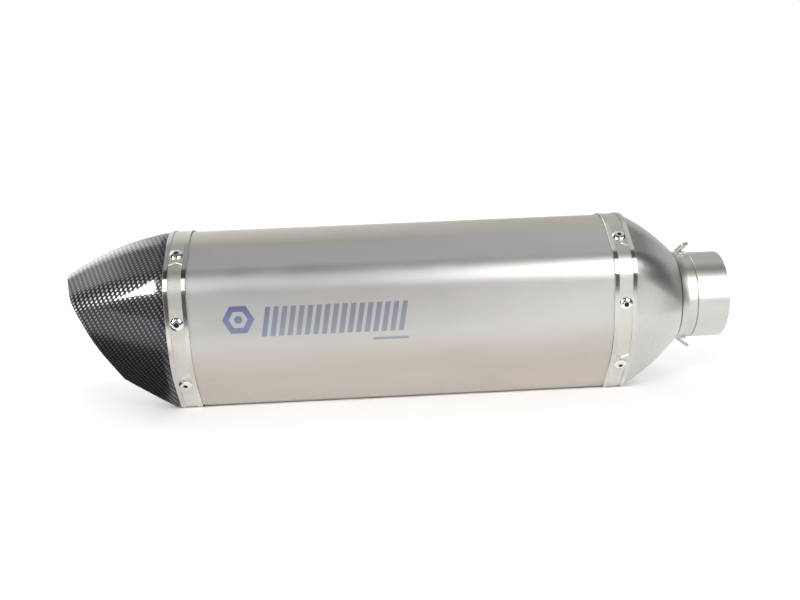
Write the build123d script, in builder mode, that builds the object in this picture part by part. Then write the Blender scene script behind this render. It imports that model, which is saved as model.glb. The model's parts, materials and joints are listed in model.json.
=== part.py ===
from build123d import *
import os
from math import cos, radians, sin

# Slip-on muffler lying along X, millimetres.
# The origin is the centre of the inlet pipe's mouth, +X points out of that mouth and +Z is up.
# The body is an irregular hexagon with large corners: a crown, two shoulders, two sides, two flanks and a foot.

# Body outline: the angle of each face's outward normal from +Y, its distance from the axis,
# and the radius of the corner between it and the next face down
FACE_ANGLES = (90.0, 50.0, -7.0, -46.0, -90.0)
BODY_REACH = (59.6, 54.9, 46.0, 50.0, 62.1)
BODY_RADII = (36.0, 20.0, 60.0, 7.0)

# Stations along the axis
BAND_W = 15.0
INLET_BAND_X = -77.0
OUTLET_BAND_X = -374.0
SLEEVE_X = (-381.0, -70.0)
PIPE_INNER_X = -88.0
CORE_X = (-372.0, -78.0)

# Wall stack at the bands, measured outwards from the sleeve's outer face
FIT = 0.05
SLEEVE_WALL = 1.0
RIM = 1.0
RIM_BEVEL = 0.2
PANEL = 0.5
PANEL_W = 9.0
LAND_POINT = 6.8
LAND_HALF = 9.6
CAP_WALL = 1.5
CONE_WALL = 1.2
PAN_WALL = 1.2

# Outlet cap
CAP_START_X = -385.5
CAP_LENGTH = 74.0
CAP_SLOPE = (0.157, 0.19, 0.17, 0.36, 0.65)
CAP_BOW = (0.00327, 0.0024, 0.0013, 0.0006, 0.0006)
CAP_END_RADII = (18.0, 15.0, 18.0, 5.0)
CAP_SKIN = 1.8
MOUTH_TIP = (-452.8, 32.0)
MOUTH_ANGLE = 25.8

# Inlet cone and pipe
CONE_X = (-69.8, -33.2)
CONE_END_R = 31.8
CONE_BOW = 2.6
CONE_SKIN = 1.5
PIPE_R = 30.0
BORE_R = 27.25
PIPE_WALL = 1.5
SEAM_X = -21.8
FLARE_X = -28.4

# Rivets: the face each one sits on and its offset up that face
RIVET_SPOTS = ((1, 5.0), (2, 7.2), (3, -8.0))
RIVET_HOLE_R = 2.5
SHANK_R = 2.4
HEAD_R = 4.5
STEM_R = 1.5
RIVET_LENGTH = 9.5

# Tail tube and removable insert
TAIL_R = 27.0
TAIL_WALL = 1.5
TAIL_X = -403.0
SEAT_X = -396.0
SEAT_R = 19.1
SEAT_T = 4.0
INSERT_R = 25.2
INSERT_T = 3.0
INSERT_TUBE_R = 18.8
INSERT_TUBE_WALL = 1.3
INSERT_TUBE_X = -332.0
INSERT_NOSE_X = -302.0
NOSE_R = 9.0
SCREW_CIRCLE_R = 22.0
SCREW_R = 2.0
SCREW_HEAD_R = 3.1

# Core and packing
CORE_WALL = 1.3
CORE_HOLE_R = 1.75
CORE_ROWS = 20
CORE_PER_ROW = 16
STEEL_WOOL_R = 34.0

# Spring hooks
HOOK_WIRE_R = 0.85
HOOK_LEAN = 38.0
HOOK_SPREAD = 3.8
HOOK_BEND_R = 3.4
HOOK_LENGTH = 8.0
HOOK_X = -27.6
FOOT_T = 1.3
FOOT_WIDTH = 14.0
FOOT_X = (-28.2, -23.6)

os.makedirs("parts", exist_ok=True)


def corner(angle_a, reach_a, angle_b, reach_b):
    """Point where two faces meet, each given by its normal's angle and its distance."""
    a, b = radians(angle_a), radians(angle_b)
    scale = sin(b - a)
    y = (reach_a * sin(b) - reach_b * sin(a)) / scale
    z = (reach_b * cos(a) - reach_a * cos(b)) / scale
    return (y, z)


def outline(reach, radii, grow=0.0):
    """Closed symmetrical outline in a section plane, from the faces' distances."""
    right = [
        corner(FACE_ANGLES[i], reach[i] + grow, FACE_ANGLES[i + 1], reach[i + 1] + grow)
        for i in range(len(radii))
    ]
    left = [(-y, z) for y, z in reversed(right)]
    rounds = [max(r + grow, 0.5) for r in radii]
    with BuildSketch(Plane.XY) as section:
        with BuildLine():
            FilletPolyline(*right, *left, radius=rounds + rounds[::-1], close=True)
        make_face()
    return section.sketch


def body_outline(grow):
    return outline(BODY_REACH, BODY_RADII, grow)


def body_ring(x_low, x_high, outer, inner):
    """Ring that follows the body, between two distances from the sleeve's face."""
    with BuildPart() as ring:
        with BuildSketch(Plane.YZ.offset(x_low)):
            add(body_outline(outer))
            add(body_outline(inner), mode=Mode.SUBTRACT)
        extrude(amount=x_high - x_low)
    return ring.part


def rivet_planes(x, grow):
    """Planes on the faces at the rivets, normals outwards, both sides of the body."""
    planes = []
    for face, up in RIVET_SPOTS:
        a = radians(FACE_ANGLES[face])
        reach = BODY_REACH[face] + grow
        y = reach * cos(a) - up * sin(a)
        z = reach * sin(a) + up * cos(a)
        planes.append(Plane(origin=(x, y, z), x_dir=(1, 0, 0), z_dir=(0, cos(a), sin(a))))
        planes.append(Plane(origin=(x, -y, z), x_dir=(1, 0, 0), z_dir=(0, -cos(a), sin(a))))
    return planes


def drilled(part, x, radius=RIVET_HOLE_R):
    """The part with the band's six rivet holes through its wall."""
    with BuildPart() as holed:
        add(part)
        with Locations(*rivet_planes(x, RIM + 1)):
            Hole(radius=radius, depth=RIVET_LENGTH + 2)
    return holed.part


def turned(*profile):
    """Solid turned about the X axis from points given as (x, radius)."""
    with BuildPart() as solid:
        with BuildSketch(Plane.XZ):
            with BuildLine():
                Polyline(*profile, close=True)
            make_face()
        revolve(axis=Axis.X)
    return solid.part


def tube(x_low, x_high, inner_r, outer_r, bevel=0.2):
    """Round tube along X with its outer ends broken."""
    return turned(
        (x_low, inner_r),
        (x_high, inner_r),
        (x_high, outer_r - bevel),
        (x_high - bevel, outer_r),
        (x_low + bevel, outer_r),
        (x_low, outer_r - bevel),
    )


def write(part, name):
    part.label = name
    export_step(part, f"parts/{name}.step")


# Sleeve: thin skin between the two bands
with BuildPart() as sleeve:
    add(body_ring(*SLEEVE_X, 0.0, -SLEEVE_WALL))
    with Locations(*rivet_planes(INLET_BAND_X, RIM + 1), *rivet_planes(OUTLET_BAND_X, RIM + 1)):
        Hole(radius=RIVET_HOLE_R, depth=RIVET_LENGTH + 2)
write(sleeve.part, "sleeve")


# Bands: raised rims, lands round the rivets and recessed panels with pointed ends between them
def band(x):
    with BuildPart() as lands:
        for plane in rivet_planes(x, RIM + 1):
            with BuildSketch(plane):
                half = PANEL_W / 2 + 0.5
                with BuildLine():
                    Polyline(
                        (0, LAND_POINT),
                        (half, LAND_HALF),
                        (half, -LAND_HALF),
                        (0, -LAND_POINT),
                        (-half, -LAND_HALF),
                        (-half, LAND_HALF),
                        close=True,
                    )
                make_face()
            extrude(amount=-4)
    with BuildPart() as panels:
        add(body_ring(x - PANEL_W / 2, x + PANEL_W / 2, RIM + 0.5, PANEL))
        add(lands.part, mode=Mode.SUBTRACT)
    with BuildPart() as hoop:
        with BuildSketch(Plane.YZ.offset(x - BAND_W / 2)):
            add(body_outline(RIM))
        extrude(amount=BAND_W)
        ends = hoop.edges().group_by(Axis.X)
        chamfer(ends[0] + ends[-1], RIM_BEVEL)
        with BuildSketch(Plane.YZ.offset(x - BAND_W / 2)):
            add(body_outline(FIT))
        extrude(amount=BAND_W, mode=Mode.SUBTRACT)
        add(panels.part, mode=Mode.SUBTRACT)
        with Locations(*rivet_planes(x, RIM + 1)):
            Hole(radius=RIVET_HOLE_R, depth=RIVET_LENGTH)
    return hoop.part


write(band(INLET_BAND_X), "inlet_band")
write(band(OUTLET_BAND_X), "outlet_band")


# Outlet cap: spigot in the sleeve, short straight collar, convex taper, slanted mouth
def cap_section(run, grow):
    reach = [r - s * run - b * run**2 for r, s, b in zip(BODY_REACH, CAP_SLOPE, CAP_BOW)]
    part_way = run / CAP_LENGTH
    radii = [a + (b - a) * part_way for a, b in zip(BODY_RADII, CAP_END_RADII)]
    return outline(reach, radii, grow)


def cap_taper(grow, overrun):
    with BuildPart() as taper:
        for run in (0.0, CAP_LENGTH / 3, CAP_LENGTH * 2 / 3, CAP_LENGTH):
            with BuildSketch(Plane.YZ.offset(CAP_START_X - run)):
                add(cap_section(run, grow))
        loft()
        with BuildSketch(Plane.YZ.offset(CAP_START_X)):
            add(cap_section(0.0, grow))
        extrude(amount=overrun)
    return taper.part


MOUTH_PLANE = Plane(
    origin=(MOUTH_TIP[0], 0, MOUTH_TIP[1]),
    x_dir=(0, 1, 0),
    z_dir=(cos(radians(MOUTH_ANGLE)), 0, sin(radians(MOUTH_ANGLE))),
)
with BuildPart() as outlet_cap:
    add(cap_taper(-FIT, SLEEVE_X[0] - CAP_START_X - FIT))
    with BuildSketch(Plane.YZ.offset(SLEEVE_X[0] - 1)):
        add(body_outline(-SLEEVE_WALL - FIT))
    extrude(amount=BAND_W)
    add(cap_taper(-CAP_SKIN, 4.0), mode=Mode.SUBTRACT)
    with BuildSketch(Plane.YZ.offset(CAP_START_X - 1)):
        add(body_outline(-SLEEVE_WALL - FIT - CAP_WALL))
    extrude(amount=BAND_W + 8, mode=Mode.SUBTRACT)
    split(bisect_by=MOUTH_PLANE, keep=Keep.TOP)
write(drilled(outlet_cap.part, OUTLET_BAND_X), "outlet_cap")


# Inlet cone: spigot in the sleeve, slightly convex skin that goes from the body's outline to round
def cone_section(t, grow):
    rest = 1 - t
    bow = CONE_BOW * 4 * t * rest
    reach = [r * rest + CONE_END_R * t + bow for r in BODY_REACH]
    radii = [r * rest + (CONE_END_R - 0.6) * t for r in BODY_RADII]
    return outline(reach, radii, grow)


def cone_taper(grow):
    with BuildPart() as taper:
        for t in (0.0, 0.25, 0.5, 0.75, 1.0):
            with BuildSketch(Plane.YZ.offset(CONE_X[0] + (CONE_X[1] - CONE_X[0]) * t)):
                add(cone_section(t, grow))
        loft()
    return taper.part


with BuildPart() as inlet_cone:
    add(cone_taper(-FIT))
    add(body_ring(CONE_X[0] - BAND_W, CONE_X[0], -SLEEVE_WALL - FIT, -SLEEVE_WALL - FIT - CONE_WALL))
    add(cone_taper(-SLEEVE_WALL - FIT - CONE_WALL), mode=Mode.SUBTRACT)
write(drilled(inlet_cone.part, INLET_BAND_X), "inlet_cone")

# Inlet pipe, the slip sleeve over its mouth and the flared collar against the cone
pipe_outer_r = BORE_R + PIPE_WALL
write(tube(PIPE_INNER_X, 0.0, BORE_R, pipe_outer_r), "inlet_pipe")
write(tube(SEAM_X, -0.3, pipe_outer_r + FIT, PIPE_R, bevel=0.3), "pipe_sleeve")
with BuildPart() as neck_collar:
    with BuildSketch(Plane.XZ):
        with BuildLine():
            Polyline(
                (FLARE_X, PIPE_R + 0.15),
                (FLARE_X, PIPE_R - 0.1),
                (SEAM_X - 0.6, PIPE_R - 0.1),
                (SEAM_X - 0.4, PIPE_R - 0.3),
                (SEAM_X - 0.4, pipe_outer_r + FIT),
                (CONE_X[1] + FIT, pipe_outer_r + FIT),
                (CONE_X[1] + FIT, CONE_END_R),
            )
            TangentArc((CONE_X[1] + FIT, CONE_END_R), (FLARE_X, PIPE_R + 0.15), tangent=(1, -0.5))
        make_face()
    revolve(axis=Axis.X)
write(neck_collar.part, "neck_collar")


# Spring hooks: bent wire loops that lean towards the mouth
def hook(side):
    lean = radians(HOOK_LEAN)
    normal = (side * sin(lean), 0, -cos(lean))
    plane = Plane(origin=(HOOK_X, 0, side * (PIPE_R + FOOT_T)), x_dir=(0, 1, 0), z_dir=normal)
    with BuildPart() as loop:
        with BuildLine(plane) as path:
            FilletPolyline(
                (-HOOK_SPREAD, 0),
                (-HOOK_SPREAD, HOOK_LENGTH + HOOK_WIRE_R),
                (HOOK_SPREAD, HOOK_LENGTH + HOOK_WIRE_R),
                (HOOK_SPREAD, 0),
                radius=HOOK_BEND_R,
            )
        with BuildSketch(Plane(origin=path.line @ 0, z_dir=path.line % 0)):
            Circle(HOOK_WIRE_R)
        sweep(path=path.line)
    return loop.part


# Feet: curved straps welded across the collar, the hook's two legs end on them
def hook_foot(side):
    with BuildPart() as foot:
        with BuildSketch(Plane.YZ.offset(FOOT_X[0])):
            Circle(PIPE_R + FOOT_T)
            Circle(PIPE_R - 0.1 + FIT, mode=Mode.SUBTRACT)
            with Locations((0, side * PIPE_R)):
                Rectangle(FOOT_WIDTH, 14, mode=Mode.INTERSECT)
        extrude(amount=FOOT_X[1] - FOOT_X[0])
        fillet(foot.edges().filter_by(Axis.X), 0.4)
    return foot.part


write(hook(1), "upper_spring_hook")
write(hook(-1), "lower_spring_hook")
write(hook_foot(1), "upper_hook_foot")
write(hook_foot(-1), "lower_hook_foot")


# Blind rivets: domed head with a centre hole, hollow shank, swollen blind end
def rivet(grip):
    with BuildPart() as one:
        with BuildSketch(Plane.XZ):
            with BuildLine():
                Polyline(
                    (STEM_R + 0.1, 1.55),
                    (STEM_R + 0.1, -grip - 2.4),
                    (SHANK_R + 0.3, -grip - 2.4),
                    (SHANK_R + 0.8, -grip - 1.6),
                    (SHANK_R + 0.8, -grip - 0.9),
                    (SHANK_R, -grip - 0.1),
                    (SHANK_R, 0.02),
                    (HEAD_R, 0.02),
                    (HEAD_R, 0.35),
                )
                ThreePointArc((HEAD_R, 0.35), (3.4, 1.25), (STEM_R + 0.1, 1.55))
            make_face()
        revolve(axis=Axis.Z)
    return one.part


def mandrel(grip):
    with BuildPart() as stem:
        with BuildSketch(Plane.XZ):
            with BuildLine():
                Polyline(
                    (0, 0.1),
                    (STEM_R - 0.4, 0.1),
                    (STEM_R, -0.4),
                    (STEM_R, -grip - 2.45),
                    (SHANK_R, -grip - 2.45),
                    (SHANK_R, -grip - 3.2),
                    (SHANK_R - 0.8, -grip - 4.0),
                    (0, -grip - 4.0),
                    close=True,
                )
            make_face()
        revolve(axis=Axis.Z)
    return stem.part


def at_rivets(item, x):
    with BuildPart() as group:
        with Locations(*rivet_planes(x, RIM)):
            add(item)
    return group.part


outlet_grip = RIM + SLEEVE_WALL + CAP_WALL + PAN_WALL + 3 * FIT
inlet_grip = RIM + SLEEVE_WALL + CONE_WALL + 2 * FIT
write(at_rivets(rivet(outlet_grip), OUTLET_BAND_X), "outlet_rivets")
write(at_rivets(mandrel(outlet_grip), OUTLET_BAND_X), "outlet_mandrels")
write(at_rivets(rivet(inlet_grip), INLET_BAND_X), "inlet_rivets")
write(at_rivets(mandrel(inlet_grip), INLET_BAND_X), "inlet_mandrels")

# End pan behind the cap, with its flange under the rivets and a hole for the tail tube
pan_grow = -SLEEVE_WALL - CAP_WALL - 2 * FIT
with BuildPart() as outlet_end_plate:
    with BuildSketch(Plane.YZ.offset(OUTLET_BAND_X - BAND_W / 2)):
        add(body_outline(pan_grow))
    extrude(amount=BAND_W)
    with BuildSketch(Plane.YZ.offset(OUTLET_BAND_X - BAND_W / 2 + PAN_WALL)):
        add(body_outline(pan_grow - PAN_WALL))
    extrude(amount=BAND_W, mode=Mode.SUBTRACT)
    with BuildSketch(Plane.YZ.offset(OUTLET_BAND_X - BAND_W)):
        Circle(TAIL_R + FIT)
    extrude(amount=BAND_W * 2, mode=Mode.SUBTRACT)
write(drilled(outlet_end_plate.part, OUTLET_BAND_X), "outlet_end_plate")

# Tail tube: fits in the core, necks down through the pan, has a rolled lip and a seat for the insert
core_r = pipe_outer_r + FIT
write(
    turned(
        (CORE_X[0] + 12, core_r - TAIL_WALL - FIT),
        (CORE_X[0] + 12, core_r - FIT),
        (CORE_X[0] - 1, core_r - FIT),
        (CORE_X[0] - 5, TAIL_R),
        (TAIL_X + 1, TAIL_R),
        (TAIL_X + 0.6, TAIL_R + 0.8),
        (TAIL_X + 0.3, TAIL_R + 0.8),
        (TAIL_X, TAIL_R + 0.3),
        (TAIL_X, TAIL_R - TAIL_WALL),
        (SEAT_X, TAIL_R - TAIL_WALL),
        (CORE_X[0] - 5, TAIL_R - TAIL_WALL),
        (CORE_X[0] - 1, core_r - TAIL_WALL - FIT),
    ),
    "tail_tube",
)
with BuildPart() as insert_seat:
    with BuildSketch(Plane.YZ.offset(SEAT_X)):
        Circle(TAIL_R - TAIL_WALL - FIT)
        Circle(SEAT_R, mode=Mode.SUBTRACT)
        with PolarLocations(SCREW_CIRCLE_R, 3, start_angle=90):
            Circle(SCREW_R + 0.1, mode=Mode.SUBTRACT)
    extrude(amount=SEAT_T)
write(insert_seat.part, "insert_seat")

# Inlet end plate: keeps the packing out of the cone
with BuildPart() as inlet_end_plate:
    with BuildSketch(Plane.YZ.offset(PIPE_INNER_X)):
        add(body_outline(-SLEEVE_WALL - 0.3))
        Circle(core_r + CORE_WALL + FIT, mode=Mode.SUBTRACT)
    extrude(amount=PAN_WALL)
write(inlet_end_plate.part, "inlet_end_plate")

# Core: straight tube with staggered rows of holes
core_length = CORE_X[1] - CORE_X[0]
row_step = (core_length - 40) / (CORE_ROWS - 1)
with BuildPart() as perforated_core:
    add(tube(*CORE_X, core_r, core_r + CORE_WALL, bevel=0.1))
    for row in range(CORE_ROWS):
        x = CORE_X[0] + 20 + row * row_step
        half_step = 360 / CORE_PER_ROW / 2 * (row % 2)
        for k in range(CORE_PER_ROW // 2):
            a = radians(half_step + k * 360 / CORE_PER_ROW)
            with Locations(Plane(origin=(x, 0, 0), x_dir=(1, 0, 0), z_dir=(0, cos(a), sin(a)))):
                Cylinder(CORE_HOLE_R, 2 * core_r + 10, mode=Mode.SUBTRACT)
write(perforated_core.part, "perforated_core")

# Packing: steel wool round the core, glass wool out to the sleeve
wool_x = (OUTLET_BAND_X + BAND_W / 2 + 1, PIPE_INNER_X - 0.5)
write(tube(*wool_x, core_r + CORE_WALL + FIT, STEEL_WOOL_R, bevel=0.1), "steel_wool")
with BuildPart() as glass_wool:
    with BuildSketch(Plane.YZ.offset(wool_x[0])):
        add(body_outline(-SLEEVE_WALL - 0.3))
        Circle(STEEL_WOOL_R + FIT, mode=Mode.SUBTRACT)
    extrude(amount=wool_x[1] - wool_x[0])
write(glass_wool.part, "glass_wool")

# Removable insert: flange in the tail tube's mouth, reducer tube and closed perforated nose
with BuildPart() as insert_flange:
    with BuildSketch(Plane.YZ.offset(SEAT_X - INSERT_T)):
        Circle(INSERT_R)
        Circle(INSERT_TUBE_R + FIT, mode=Mode.SUBTRACT)
        with PolarLocations(SCREW_CIRCLE_R, 3, start_angle=90):
            Circle(SCREW_R + 0.2, mode=Mode.SUBTRACT)
    extrude(amount=INSERT_T - FIT)
write(insert_flange.part, "insert_flange")
write(
    tube(SEAT_X - INSERT_T - 1.5, INSERT_TUBE_X, INSERT_TUBE_R - INSERT_TUBE_WALL, INSERT_TUBE_R),
    "insert_tube",
)
nose_out = INSERT_TUBE_R - 0.1
nose_in = nose_out - INSERT_TUBE_WALL
with BuildPart() as insert_nose:
    add(
        turned(
            (INSERT_TUBE_X + FIT, nose_in),
            (INSERT_TUBE_X + FIT, nose_out),
            (INSERT_NOSE_X - 2, NOSE_R + 1),
            (INSERT_NOSE_X, NOSE_R - 1),
            (INSERT_NOSE_X, 0),
            (INSERT_NOSE_X - INSERT_TUBE_WALL, 0),
            (INSERT_NOSE_X - INSERT_TUBE_WALL, NOSE_R - 1.6),
            (INSERT_NOSE_X - 2.8, NOSE_R - 0.4),
        )
    )
    for x, turn in ((INSERT_TUBE_X + 7, 0), (INSERT_TUBE_X + 13, 22.5), (INSERT_TUBE_X + 19, 0)):
        for k in range(4):
            a = radians(turn + k * 45)
            with Locations(Plane(origin=(x, 0, 0), x_dir=(1, 0, 0), z_dir=(0, cos(a), sin(a)))):
                Cylinder(CORE_HOLE_R, 2 * INSERT_TUBE_R + 10, mode=Mode.SUBTRACT)
write(insert_nose.part, "insert_nose")

# Insert screws: socket heads on the flange, shanks in the seat's threaded holes
with BuildPart() as insert_screws:
    with BuildSketch(Plane.YZ.offset(SEAT_X - INSERT_T - FIT)):
        with PolarLocations(SCREW_CIRCLE_R, 3, start_angle=90):
            Circle(SCREW_HEAD_R)
    extrude(amount=-3.2)
    with BuildSketch(Plane.YZ.offset(SEAT_X - INSERT_T - FIT - 3.2)):
        with PolarLocations(SCREW_CIRCLE_R, 3, start_angle=90):
            RegularPolygon(1.6, 6)
    extrude(amount=2.0, mode=Mode.SUBTRACT)
    with BuildSketch(Plane.YZ.offset(SEAT_X - INSERT_T - FIT)):
        with PolarLocations(SCREW_CIRCLE_R, 3, start_angle=90):
            Circle(SCREW_R)
    extrude(amount=INSERT_T + SEAT_T + 1.5)
write(insert_screws.part, "insert_screws")
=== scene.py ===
"""Looks of the slip-on muffler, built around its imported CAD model. Metres, in the CAD frame."""

import json
from math import cos, degrees, pi, radians, sin

import bpy
from mathutils import Matrix, Vector


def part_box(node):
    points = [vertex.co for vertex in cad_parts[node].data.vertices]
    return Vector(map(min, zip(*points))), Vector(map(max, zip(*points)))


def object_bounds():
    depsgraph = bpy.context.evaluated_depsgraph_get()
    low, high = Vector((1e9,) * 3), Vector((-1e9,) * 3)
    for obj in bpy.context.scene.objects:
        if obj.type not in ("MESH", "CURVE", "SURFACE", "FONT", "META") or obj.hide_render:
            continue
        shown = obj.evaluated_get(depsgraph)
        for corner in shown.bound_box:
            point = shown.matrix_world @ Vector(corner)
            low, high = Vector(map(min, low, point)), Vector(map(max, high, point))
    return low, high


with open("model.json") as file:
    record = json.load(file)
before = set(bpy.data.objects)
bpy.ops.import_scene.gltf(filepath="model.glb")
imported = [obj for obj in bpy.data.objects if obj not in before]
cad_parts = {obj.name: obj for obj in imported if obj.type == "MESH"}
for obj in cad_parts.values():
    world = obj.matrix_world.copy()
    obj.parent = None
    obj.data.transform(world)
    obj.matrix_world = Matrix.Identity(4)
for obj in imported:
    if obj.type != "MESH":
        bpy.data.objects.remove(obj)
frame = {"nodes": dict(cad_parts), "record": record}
cad_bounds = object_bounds()
nodes = frame["nodes"]
scene = bpy.context.scene
MM = 0.001

# Camera: place, then heading, tilt down and roll in degrees
CAMERA_AT = (-0.2535, -0.7060, 0.0888)
CAMERA_YAW, CAMERA_TILT, CAMERA_ROLL = 2.278, 6.599, -2.339
CAMERA_LENS, CAMERA_SENSOR = 45.36, 36.0
CAMERA_SHIFT_Y = -0.0031
CAMERA_CLIP = (0.01, 50.0)


def make_camera():
    data = bpy.data.cameras.new("camera")
    data.lens, data.sensor_width, data.shift_y = CAMERA_LENS, CAMERA_SENSOR, CAMERA_SHIFT_Y
    data.clip_start, data.clip_end = CAMERA_CLIP
    cam = bpy.data.objects.new("camera", data)
    scene.collection.objects.link(cam)
    yaw, tilt, roll = (radians(a) for a in (CAMERA_YAW, CAMERA_TILT, CAMERA_ROLL))
    level = Vector((sin(yaw), cos(yaw), 0))
    side = Vector((cos(yaw), -sin(yaw), 0))
    ahead = level * cos(tilt) - Vector((0, 0, 1)) * sin(tilt)
    up = Vector((0, 0, 1)) * cos(tilt) + level * sin(tilt)
    right = side * cos(roll) + up * sin(roll)
    above = up * cos(roll) - side * sin(roll)
    turn = Matrix((right, above, -ahead)).transposed()
    cam.matrix_world = Matrix.Translation(CAMERA_AT) @ turn.to_4x4()
    scene.camera = cam


make_camera()


class Nodes:
    """A short way to write a shader's node tree. A value is a number, a colour or another node's output."""

    def __init__(self, tree):
        self.tree = tree
        tree.nodes.clear()

    def feed(self, socket, value):
        if isinstance(value, bpy.types.NodeSocket):
            self.tree.links.new(value, socket)
        elif socket.type == "RGBA" and len(value) == 3:
            socket.default_value = (*value, 1)
        else:
            socket.default_value = value

    def add(self, kind, *values, out=0, **settings):
        """Add a node, set it up, feed its first inputs, and give one output, by place or name."""
        node = self.tree.nodes.new("ShaderNode" + kind)
        for key, setting in settings.items():
            setattr(node, key, setting)
        for socket, value in zip(node.inputs, values):
            if value is not None:
                self.feed(socket, value)
        return node.outputs[out]

    def math(self, operation, a, b=None):
        return self.add("Math", a, b, operation=operation)

    def times(self, a, b):
        return self.math("MULTIPLY", a, b)

    def split(self, vector):
        node = self.tree.nodes.new("ShaderNodeSeparateXYZ")
        self.feed(node.inputs[0], vector)
        return node.outputs[:3]

    def ramp(self, value, low, high, to_low=0.0, to_high=1.0, smooth=False):
        """Turn low to high into to_low to to_high, and hold the ends."""
        kind = "SMOOTHSTEP" if smooth else "LINEAR"
        return self.add("MapRange", value, low, high, to_low, to_high, interpolation_type=kind)

    def window(self, value, low, high, edge):
        """1 between low and high, falling to 0 over the edge on both sides."""
        rise = self.ramp(value, low - edge / 2, low + edge / 2, smooth=True)
        return self.times(rise, self.ramp(value, high + edge / 2, high - edge / 2, smooth=True))

    def noise(self, vector, scale, detail=3.0, roughness=0.55):
        node = self.tree.nodes.new("ShaderNodeTexNoise")
        inputs = {"Vector": vector, "Scale": scale, "Detail": detail, "Roughness": roughness}
        for name, value in inputs.items():
            self.feed(node.inputs[name], value)
        return node.outputs[0]

    def stretch(self, vector, x, y, z):
        return self.add("VectorMath", vector, (x, y, z), operation="MULTIPLY")

    def mix(self, share, a, b):
        """Colour a at a share of 0, colour b at 1."""
        node = self.tree.nodes.new("ShaderNodeMix")
        node.data_type = "RGBA"
        factor, colour_a, colour_b = node.inputs[0], node.inputs[6], node.inputs[7]
        for socket, value in ((factor, share), (colour_a, a), (colour_b, b)):
            self.feed(socket, value)
        return node.outputs[2]

    def bump(self, height, distance, strength=1.0):
        node = self.tree.nodes.new("ShaderNodeBump")
        node.inputs["Strength"].default_value = strength
        node.inputs["Distance"].default_value = distance
        self.feed(node.inputs["Height"], height)
        return node.outputs[0]

    def across_grain(self):
        """Direction round the body: brushing along X blurs the reflections that way."""
        facing = self.add("TexCoord", out="Normal")
        return self.add("VectorMath", (1, 0, 0), facing, operation="CROSS_PRODUCT")


def material(name, build, **fixed):
    """Principled material: build(n) gives the worked-out values, fixed the plain ones."""
    mat = bpy.data.materials.new(name)
    mat.use_nodes = True
    n = Nodes(mat.node_tree)
    surface = mat.node_tree.nodes.new("ShaderNodeBsdfPrincipled")
    for key, value in {**fixed, **build(n)}.items():
        n.feed(surface.inputs[key], value)
    out = mat.node_tree.nodes.new("ShaderNodeOutputMaterial")
    mat.node_tree.links.new(surface.outputs[0], out.inputs[0])
    return mat


# How fast grain lines change along x, y and z: brushed along the body, turned round it, or even
ALONG = (12, 3500, 3500)
AROUND = (3500, 60, 60)
EVEN = (900, 900, 900)
EVEN_COARSE = (600, 600, 600)
CLOUD_SCALE = 28.0
TINT_SHARE = 0.3
GRAIN_SHADE = 0.9
GRAIN_GREY = (0.3, 0.3, 0.3)
# Painted shade: grey and share of the dark line in the crease where the cone meets its collar, and its x in
# millimetres
CREASE_SHADE_GREY, CREASE_SHADE_SHARE = (0.06, 0.06, 0.06), 0.9
CONE_CREASE_SHADE_X = (-34.5, -33.9)


def grain_lines(n, at, grain):
    return n.noise(n.stretch(at, *grain), 1.0, detail=4.0, roughness=0.7)


def metal(name, colour, rough, grain, rough_span=0.05, depth=0.004, tint=None, crease_shade=None):
    """Satin or polished metal with grain lines, whose depth is in millimetres.

    A tint shows in soft patches. The last argument gives the x, in millimetres, where a dark line of
    painted shade, standing for the shade in a crease, starts and where it is full.
    """

    def build(n):
        at = n.add("TexCoord", out="Object")
        lines = grain_lines(n, at, grain)
        cloud = n.noise(at, CLOUD_SCALE, detail=2.0)
        rough_now = n.ramp(lines, 0.3, 0.7, rough - rough_span, rough + rough_span)
        rough_now = n.math("ADD", rough_now, n.ramp(cloud, 0.35, 0.65, -0.02, 0.02))
        shade = n.mix(n.ramp(lines, 0.3, 0.7), [c * GRAIN_SHADE for c in colour], colour)
        if tint:
            shade = n.mix(n.times(n.ramp(cloud, 0.4, 0.65), TINT_SHARE), shade, tint)
        # Painted shade: a dark line along the crease
        if crease_shade:
            x = n.split(at)[0]
            shade = n.mix(n.ramp(x, crease_shade[0] * MM, crease_shade[1] * MM, 0.0, CREASE_SHADE_SHARE), shade, CREASE_SHADE_GREY)
        return {
            "Base Color": shade,
            "Roughness": rough_now,
            "Normal": n.bump(lines, depth * MM),
        }

    return material(name, build, Metallic=1.0)


# Etched graphic on the front side face, in millimetres: a hexagon ring with a dot, slanted stripes
# and a thin line
HEX_AT = (-334.0, 2.5)
HEX_OUTER, HEX_INNER, HEX_DOT_R = 9.2, 5.4, 2.6
HEX_ANGLES = (30, 90, 150)
STRIPES_X = (-318.0, -222.0)
STRIPES_Z = (-9.5, 10.5)
STRIPE_STEP, STRIPE_START, STRIPE_SHARE, STRIPE_SLANT = 5.65, 0.05, 0.6, 0.18
LINE_X, LINE_Z = (-246.0, -222.5), (-15.2, -13.4)
ETCH_EDGE = 0.35


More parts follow.
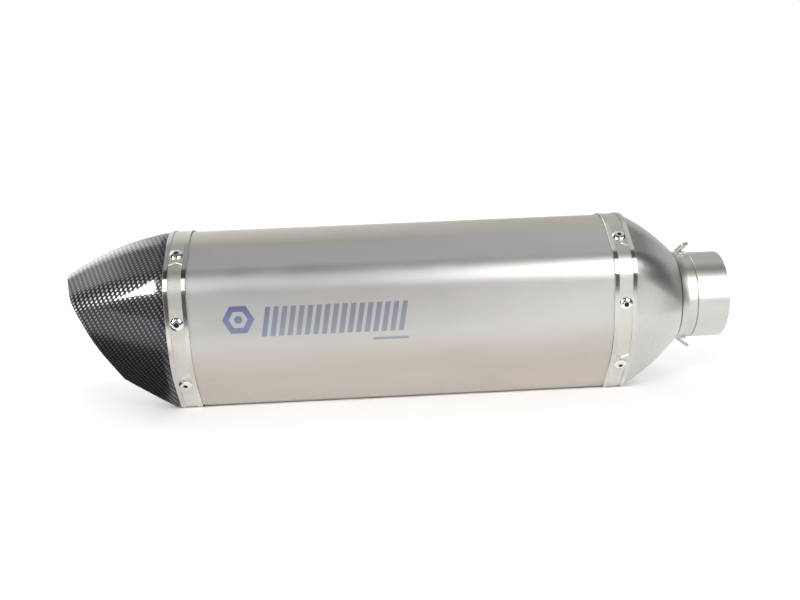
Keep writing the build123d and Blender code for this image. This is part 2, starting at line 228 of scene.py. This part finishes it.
def etching(n, x, y, z):
    """Mask of the graphic; x, y, z in millimetres."""
    px, pz = n.math("SUBTRACT", x, HEX_AT[0]), n.math("SUBTRACT", z, HEX_AT[1])
    reach = None
    for angle in HEX_ANGLES:
        share = n.math("ADD", n.times(px, cos(radians(angle))), n.times(pz, sin(radians(angle))))
        share = n.math("ABSOLUTE", share)
        reach = share if reach is None else n.math("MAXIMUM", reach, share)
    ring = n.window(reach, HEX_INNER, HEX_OUTER, ETCH_EDGE)
    far = n.math("SQRT", n.math("ADD", n.times(px, px), n.times(pz, pz)))
    dot = n.ramp(far, HEX_DOT_R + ETCH_EDGE / 2, HEX_DOT_R - ETCH_EDGE / 2)
    lean = n.math("SUBTRACT", x, n.times(z, STRIPE_SLANT))
    phase = n.math("FRACT", n.math("DIVIDE", n.math("SUBTRACT", lean, STRIPES_X[0]), STRIPE_STEP))
    stripes = n.window(phase, STRIPE_START, STRIPE_START + STRIPE_SHARE, ETCH_EDGE / STRIPE_STEP)
    stripes = n.times(stripes, n.window(lean, *STRIPES_X, ETCH_EDGE))
    stripes = n.times(stripes, n.window(z, *STRIPES_Z, ETCH_EDGE))
    line = n.times(n.window(x, *LINE_X, ETCH_EDGE), n.window(z, *LINE_Z, ETCH_EDGE))
    mask = n.math("MAXIMUM", n.math("MAXIMUM", ring, dot), n.math("MAXIMUM", stripes, line))
    in_front = n.ramp(y, 0, -1)
    return n.times(mask, in_front)


# Tints of the sleeve, and the heights in millimetres over which each comes in. The face grey and the
# flank's warm tone are painted shade: the sleeve is made darker towards the bottom, most on the
# flank, which faces the shaded floor beneath; the flank's warm hue is partly a tint.
NEUTRAL = (0.640, 0.628, 0.645)
FACE_SHADE_GREY, FACE_SHADE_HEIGHTS = (0.588, 0.575, 0.560), (26, 16)
FLANK_WARM_SHADE, FLANK_SHADE_HEIGHTS = (0.540, 0.497, 0.455), (-6, -34)
CROWN_BEIGE, CROWN_HEIGHTS, CROWN_SHARE = (0.640, 0.610, 0.535), (44, 52), 0.8
HEIGHT_WANDER = 5.0
OLIVE, OLIVE_SHARE = (0.600, 0.600, 0.510), 0.32
ROSE, ROSE_SHARE = (0.640, 0.585, 0.545), 0.28
ETCH_VIOLET, ETCH_BLUE = (0.150, 0.160, 0.360), (0.230, 0.330, 0.480)
ETCH_GREY = (0.330, 0.335, 0.390)
# The hexagon is the most coloured, and the stripes turn grey over these x
ETCH_GREY_X, ETCH_GREY_SHARE = (HEX_AT[0] + 8, STRIPES_X[0] + 14), 0.8
ETCH_STRENGTH = 0.92
ETCH_DEPTH = 2.0


def sleeve_metal():
    def build(n):
        at = n.add("TexCoord", out="Object")
        x, y, z = n.split(n.stretch(at, 1000, 1000, 1000))
        lines = grain_lines(n, at, ALONG)
        wide = n.noise(n.stretch(at, 3.0, 24, 24), 1.0, detail=2.0)
        patch = n.noise(n.stretch(at, 9.0, 30, 30), 1.3, detail=1.0)
        smear = n.noise(at, 55.0, detail=3.0)
        height = n.math("ADD", z, n.ramp(wide, 0.3, 0.7, -HEIGHT_WANDER, HEIGHT_WANDER))
        # Painted shade: the side face and the flank darker towards the bottom
        shade = n.mix(n.ramp(height, *FACE_SHADE_HEIGHTS, smooth=True), NEUTRAL, FACE_SHADE_GREY)
        shade = n.mix(n.ramp(height, *FLANK_SHADE_HEIGHTS, smooth=True), shade, FLANK_WARM_SHADE)
        shade = n.mix(n.ramp(height, *CROWN_HEIGHTS, 0.0, CROWN_SHARE, smooth=True), shade, CROWN_BEIGE)
        shade = n.mix(n.ramp(patch, 0.46, 0.66, 0.0, OLIVE_SHARE), shade, OLIVE)
        shade = n.mix(n.ramp(patch, 0.48, 0.34, 0.0, ROSE_SHARE), shade, ROSE)
        shade = n.mix(n.ramp(lines, 0.3, 0.7, 0.10, 0.0), shade, GRAIN_GREY)
        mark = etching(n, x, y, z)
        rainbow = n.math("ADD", n.ramp(z, 10, -10), n.ramp(patch, 0.35, 0.65, -0.3, 0.3))
        etched = n.mix(rainbow, ETCH_VIOLET, ETCH_BLUE)
        etched = n.mix(n.ramp(x, *ETCH_GREY_X, 0.0, ETCH_GREY_SHARE), etched, ETCH_GREY)
        shade = n.mix(n.times(mark, ETCH_STRENGTH), shade, etched)
        satin = n.ramp(lines, 0.3, 0.7, 0.36, 0.42)
        relief = n.math("SUBTRACT", lines, n.times(mark, ETCH_DEPTH))
        return {
            "Base Color": shade,
            "Roughness": n.math("ADD", satin, n.ramp(smear, 0.4, 0.65, -0.012, 0.02)),
            "Normal": n.bump(relief, 0.004 * MM),
            "Tangent": n.across_grain(),
        }

    return material("titanium_sleeve", build, Metallic=1.0, Anisotropic=0.5)


# Cap's outline in millimetres, for the weave's way round it: the faces' angles from the crown down
# and their distances from the axis, and the corners' radii between them
FACE_ANGLES = (90.0, 50.0, -7.0, -46.0, -90.0)
CAP_REACH = (59.6, 54.9, 46.0, 50.0, 62.1)
CAP_RADII = (36.0, 20.0, 60.0, 7.0)
CAP_START_X, CAP_SHRINK = -385.5, 0.0062
TOW = 1.85
TOW_ANGLE = -25.0
GAP_BLACK = (0.004, 0.004, 0.006)
TOW_GREY, RIDGE_SHEEN_GREY = (0.170, 0.166, 0.184), (0.460, 0.455, 0.480)
FIBRE_BLACK = (0.01, 0.01, 0.012)
# Painted sheen: the tows are coloured lighter where the cap turns from its shoulder to its side,
# standing for the light they catch there: from, to, edge
RIDGE_SHEEN_ANGLES = (-4.0, 44.0, 12.0)


def corner_length(i):
    """How much further round the weave gets over a corner than its flat faces give."""
    a, b = radians(FACE_ANGLES[i]), radians(FACE_ANGLES[i + 1])
    ra, rb = CAP_REACH[i] - CAP_RADII[i], CAP_REACH[i + 1] - CAP_RADII[i]
    y = (ra * sin(b) - rb * sin(a)) / sin(b - a)
    z = (rb * cos(a) - ra * cos(b)) / sin(b - a)
    return y * (sin(a) - sin(b)) - z * (cos(a) - cos(b)) + CAP_RADII[i] * (a - b)


def weave_place(n, at):
    """Distances in millimetres along the cap and round it, and the upward turn of its face."""
    x, y, z = n.split(n.stretch(at, 1000, 1000, 1000))
    _, ny, nz = n.split(n.add("TexCoord", out="Normal"))
    across = n.math("ABSOLUTE", y)
    # Inside the cap the faces point inwards, and are turned to match the outside
    outward = n.math("SIGN", n.math("ADD", n.times(ny, y), n.times(nz, z)))
    facing = n.math("ARCTAN2", n.times(nz, outward), n.math("ABSOLUTE", ny))
    up_share = n.times(z, n.math("COSINE", facing))
    flat = n.math("SUBTRACT", up_share, n.times(across, n.math("SINE", facing)))
    past_band = n.math("SUBTRACT", CAP_START_X, x)
    shrink = n.math("SUBTRACT", 1.0, n.times(past_band, CAP_SHRINK))
    turned = None
    for i in range(len(CAP_RADII)):
        start, end = radians(FACE_ANGLES[i]), radians(FACE_ANGLES[i + 1])
        length = n.ramp(facing, start, end, 0, -corner_length(i))
        turned = length if turned is None else n.math("ADD", turned, length)
    round_ = n.math("ADD", flat, n.times(turned, shrink))
    side = n.times(n.math("SIGN", y), -1.0)
    return x, n.times(round_, side), facing


def carbon():
    """Plain weave under clear lacquer: bright tows that cross, with black gaps between them."""

    def build(n):
        at = n.add("TexCoord", out="Object")
        u, v, facing = weave_place(n, at)
        c, s = cos(radians(TOW_ANGLE)) * pi / TOW, sin(radians(TOW_ANGLE)) * pi / TOW
        warp = n.math("SINE", n.math("ADD", n.times(u, c), n.times(v, s)))
        weft = n.math("SINE", n.math("SUBTRACT", n.times(v, c), n.times(u, s)))
        cross = n.times(warp, weft)
        fibres = n.noise(n.stretch(at, 4000, 4000, 4000), 1.0, detail=2.0)
        dots = n.ramp(cross, 0.05, 0.75, smooth=True)
        # Painted sheen on the tows along the cap's ridge
        ridge = n.window(facing, *(radians(a) for a in RIDGE_SHEEN_ANGLES))
        shade = n.mix(dots, GAP_BLACK, n.mix(ridge, TOW_GREY, RIDGE_SHEEN_GREY))
        shade = n.mix(n.ramp(fibres, 0.35, 0.65, 0.25, 0.0), shade, FIBRE_BLACK)
        return {
            "Base Color": shade,
            "Metallic": dots,
            "Roughness": n.ramp(dots, 0, 1, 0.5, 0.34),
            "Normal": n.bump(n.math("ABSOLUTE", cross), 0.05 * MM, 0.6),
        }

    lacquer = {"Coat Weight": 1.0, "Coat Roughness": 0.02, "Coat IOR": 1.4, "Specular IOR Level": 0.1}
    return material("carbon_weave", build, **lacquer)


# Polished rims of the bands, in millimetres from a band's middle: from, to, edge
RIM_SPAN = (4.55, 9.0, 0.1)
RIM_ROUGH = 0.1
BAND_GREY, BAND_BEIGE = (0.66, 0.64, 0.61), (0.65, 0.63, 0.575)


def band_metal():
    """Satin panels and lands between polished rims."""

    def build(n):
        at = n.add("TexCoord", out="Object")
        x = n.split(at)[0]
        lines = grain_lines(n, at, AROUND)
        cloud = n.noise(at, 60.0, detail=2.0)
        rim = None
        for name in ("outlet_band", "inlet_band"):
            low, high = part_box(name)
            away = n.math("ABSOLUTE", n.math("SUBTRACT", x, (low.x + high.x) / 2))
            here = n.window(away, *(d * MM for d in RIM_SPAN))
            rim = here if rim is None else n.math("ADD", rim, here)
        shade = n.mix(n.ramp(cloud, 0.35, 0.65), BAND_GREY, BAND_BEIGE)
        shade = n.mix(n.ramp(lines, 0.3, 0.7, 0.1, 0.0), shade, GRAIN_GREY)
        satin = n.ramp(lines, 0.3, 0.7, 0.34, 0.42)
        return {
            "Base Color": shade,
            "Roughness": n.ramp(rim, 0, 1, satin, RIM_ROUGH),
            "Normal": n.bump(lines, 0.002 * MM),
            "Tangent": n.across_grain(),
        }

    return material("band_steel", build, Metallic=1.0, Anisotropic=0.4)


def wool(name, colour, dark, squeeze, rough, metallic):
    """Loose fibres: crossing strands with soft clumps."""

    def build(n):
        at = n.add("TexCoord", out="Object")
        strands = n.noise(n.stretch(at, *squeeze), 1.0, detail=6.0, roughness=0.75)
        clumps = n.noise(at, 160.0, detail=3.0)
        shade = n.mix(n.ramp(strands, 0.35, 0.65), dark, colour)
        shade = n.mix(n.ramp(clumps, 0.4, 0.6, 0.35, 0.0), shade, dark)
        return {"Base Color": shade, "Normal": n.bump(n.math("ADD", strands, clumps), 0.6 * MM)}

    return material(name, build, Metallic=metallic, Roughness=rough)


looks = {
    "titanium_sleeve": sleeve_metal(),
    "carbon_cap": carbon(),
    "titanium_cone": metal(
        "titanium_cone", (0.64, 0.63, 0.61), 0.31, AROUND, 0.03, 0.002, (0.62, 0.59, 0.53), CONE_CREASE_SHADE_X
    ),
    "titanium_pipe": metal(
        "titanium_pipe", (0.64, 0.63, 0.60), 0.37, AROUND, 0.04, 0.003, tint=(0.62, 0.60, 0.54)
    ),
    "band_steel": band_metal(),
    "rivet_steel": metal("rivet_steel", (0.86, 0.85, 0.83), 0.08, EVEN, 0.02, 0.001),
    "mandrel_steel": metal("mandrel_steel", (0.05, 0.05, 0.05), 0.4, EVEN),
    "hook_steel": metal("hook_steel", (0.5, 0.49, 0.47), 0.25, EVEN_COARSE),
    "inner_steel": metal(
        "inner_steel", (0.40, 0.39, 0.37), 0.36, AROUND, 0.06, 0.004, tint=(0.36, 0.31, 0.25)
    ),
    "insert_steel": metal(
        "insert_steel", (0.45, 0.44, 0.43), 0.32, AROUND, 0.06, 0.004, tint=(0.40, 0.36, 0.30)
    ),
    "steel_wool": wool("steel_wool", (0.5, 0.5, 0.5), (0.1, 0.1, 0.1), (900, 2600, 2600), 0.45, 1.0),
    "glass_wool": wool("glass_wool", (0.85, 0.83, 0.74), (0.5, 0.47, 0.36), (700, 1500, 1500), 0.9, 0.0),
    "screw_steel": metal("screw_steel", (0.12, 0.12, 0.13), 0.35, AROUND),
}
slot_of = {s["node"]: s["material_slot"] for s in frame["record"]["subparts"]}
for name, node in nodes.items():
    node.data.materials.clear()
    node.data.materials.append(looks[slot_of[name]])

# Stage: pale floor under even light
centre_x = (cad_bounds[0].x + cad_bounds[1].x) / 2
FLOOR_SIZE, FLOOR_GREY = (60, 60), 0.858
PAPER_SHADE = 0.985
# Darker parts of the table, which only the reflections show: low x, high y, size, grey, and the
# widths over which the edges thin out. The one under the cap is a painted shadow: the shade of the
# floor beneath the cap, dark in the cap's and the bands' reflections.
CARDS = {
    "table_end": (centre_x - 8.0, -0.240, (16, 4.0), 0.06, None),
    "table_near": (-8.17, -0.205, (8.0, 0.04), 0.06, None),
    "table_side": (0.16, 8.0, (8.0, 16.0), 0.22, None),
    # Painted shadow: the shaded floor beneath the cap, seen only in reflections
    "shadow_card_under_cap": (-0.56, 0.115, (0.174, 0.23), 0.03, (0.014, 0.04)),
}
CARD_LIFT = 0.0005
# Suns for the floor, kept out of the reflections: energy, spread and tilt in degrees
SUNS = {"dome_light": (1.05, 170, 0), "front_light": (0.3, 80, 40)}


def paper(name, grey, rough, size=None, fade=None):
    """Plain paper; with a fade, it thins out towards the edges of its size."""

    def build(n):
        at = n.add("TexCoord", out="Object")
        fleck = n.noise(at, 400.0)
        links = {"Base Color": n.mix(fleck, [grey] * 3, [grey * PAPER_SHADE] * 3)}
        if fade:
            x, y, _ = n.split(at)
            edges = (
                n.ramp(n.math("ABSOLUTE", place), length / 2, length / 2 - width, smooth=True)
                for place, length, width in zip((x, y), size, fade)
            )
            links["Alpha"] = n.times(*edges)
        return links

    return material(name, build, Roughness=rough, **{"Specular IOR Level": 0.2})


def plane(name, at, size, mat):
    mesh = bpy.data.meshes.new(name)
    w, h = size[0] / 2, size[1] / 2
    mesh.from_pydata([(-w, -h, 0), (w, -h, 0), (w, h, 0), (-w, h, 0)], [], [(0, 1, 2, 3)])
    obj = bpy.data.objects.new(name, mesh)
    obj.location = at
    mesh.materials.append(mat)
    scene.collection.objects.link(obj)
    return obj


def make_stage():
    floor_z = min(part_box(n)[0].z for n in ("outlet_band", "inlet_band"))
    plane("floor", (centre_x, 0, floor_z), FLOOR_SIZE, paper("floor_paper", FLOOR_GREY, 0.7))
    for name, (x, y, size, grey, fade) in CARDS.items():
        at = (x + size[0] / 2, y - size[1] / 2, floor_z + CARD_LIFT)
        card = plane(name, at, size, paper(name, grey, 0.9, size, fade))
        card.visible_camera = card.visible_shadow = card.visible_diffuse = False
    for name, (energy, spread, tilt) in SUNS.items():
        sun = bpy.data.objects.new(name, bpy.data.lights.new(name, "SUN"))
        sun.data.energy, sun.data.angle = energy, radians(spread)
        sun.rotation_euler = (radians(tilt), 0, 0)
        sun.visible_glossy = False
        scene.collection.objects.link(sun)


make_stage()

# Studio round the object, in degrees. "Round" is the angle about the X axis, from 0 at the front
# over the top to 180 at the back; "along" is the angle towards +X. The ring's brightness at each
# "round" differs to the left and to the right
LEFT_RING = (
    (-180, 0.95), (-90, 0.9), (-22, 0.9), (-10, 0.07), (84, 0.07), (95, 0.40), (104, 0.60),
    (117, 0.80), (140, 0.95), (180, 1.0),
)
RIGHT_RING = (
    (-180, 0.95), (-90, 0.9), (-8, 0.9), (0, 0.13), (84, 0.13), (94, 0.78), (104, 0.76),
    (120, 0.58), (150, 0.62), (180, 0.95),
)
LEFT_ALONG, RIGHT_ALONG = -8, 12
# Soft boxes and dark cards: round from, to and edge, along from, to and edge, brightness, and how
# much the upper edge leans along
BOXES = {
    "streak on the shoulder": (-12, 58, 18, 6, 40, 11, 6.6, 0),
    "dark end of the streak": (-4, 34, 4, -30, -9.5, 4, 0.2, 0),
    "glints on the outlet band's rims": (4, 54, 4, -14.5, -8.8, 1, 2.2, 0),
    "wedge on the cap's ridge": (-4, 2, 3, -46, -31, 3, 32.0, 4.4),
    "haze on the cap's shoulder": (103, 170, 20, -48, -16, 12, 3.2, 0),
    "dark side of the cone": (-50, 134, 16, 30, 96, 14, 0.05, 0),
    "spot where the cone starts": (20, 70, 12, 44, 53.5, 4, 3.6, 0),
}
CAMERA_WHITE = (1.0, 1.0, 1.0)


def ring_light(n, around, levels):
    node = n.tree.nodes.new("ShaderNodeValToRGB")
    elements = node.color_ramp.elements
    for _ in levels[2:]:
        elements.new(0.5)
    for element, (angle, _) in zip(elements, levels):
        element.position = (angle + 180) / 360
    for element, (_, level) in zip(elements, levels):
        element.color = (level, level, level, 1)
    n.feed(node.inputs[0], n.ramp(around, -180, 180))
    return node.outputs[0]


def make_world():
    world = bpy.data.worlds.new("studio")
    scene.world = world
    world.use_nodes = True
    n = Nodes(world.node_tree)
    dx, dy, dz = n.split(n.add("TexCoord", out="Generated"))
    around = n.times(n.math("ARCTAN2", dz, n.times(dy, -1.0)), degrees(1))
    along = n.times(n.math("ARCSINE", dx), degrees(1))
    to_right = n.ramp(along, LEFT_ALONG, RIGHT_ALONG, smooth=True)
    light = n.mix(to_right, ring_light(n, around, LEFT_RING), ring_light(n, around, RIGHT_RING))
    for r0, r1, soft, a0, a1, fade, level, lean in BOXES.values():
        top = n.math("ADD", n.times(n.math("SUBTRACT", along, a0), lean), r1)
        share = n.ramp(around, r0, r0 + soft, smooth=True)
        share = n.times(share, n.ramp(n.math("SUBTRACT", top, around), 0, soft, smooth=True))
        share = n.times(share, n.ramp(along, a0, a0 + fade, smooth=True))
        share = n.times(share, n.ramp(along, a1, a1 - fade, smooth=True))
        light = n.mix(share, light, (level, level, level))
    light = n.mix(n.add("LightPath", out="Is Camera Ray"), light, CAMERA_WHITE)
    back = world.node_tree.nodes.new("ShaderNodeBackground")
    n.feed(back.inputs[0], light)
    out = world.node_tree.nodes.new("ShaderNodeOutputWorld")
    world.node_tree.links.new(back.outputs[0], out.inputs[0])


make_world()
scene.view_settings.view_transform = "Standard"

bpy.context.view_layer.update()
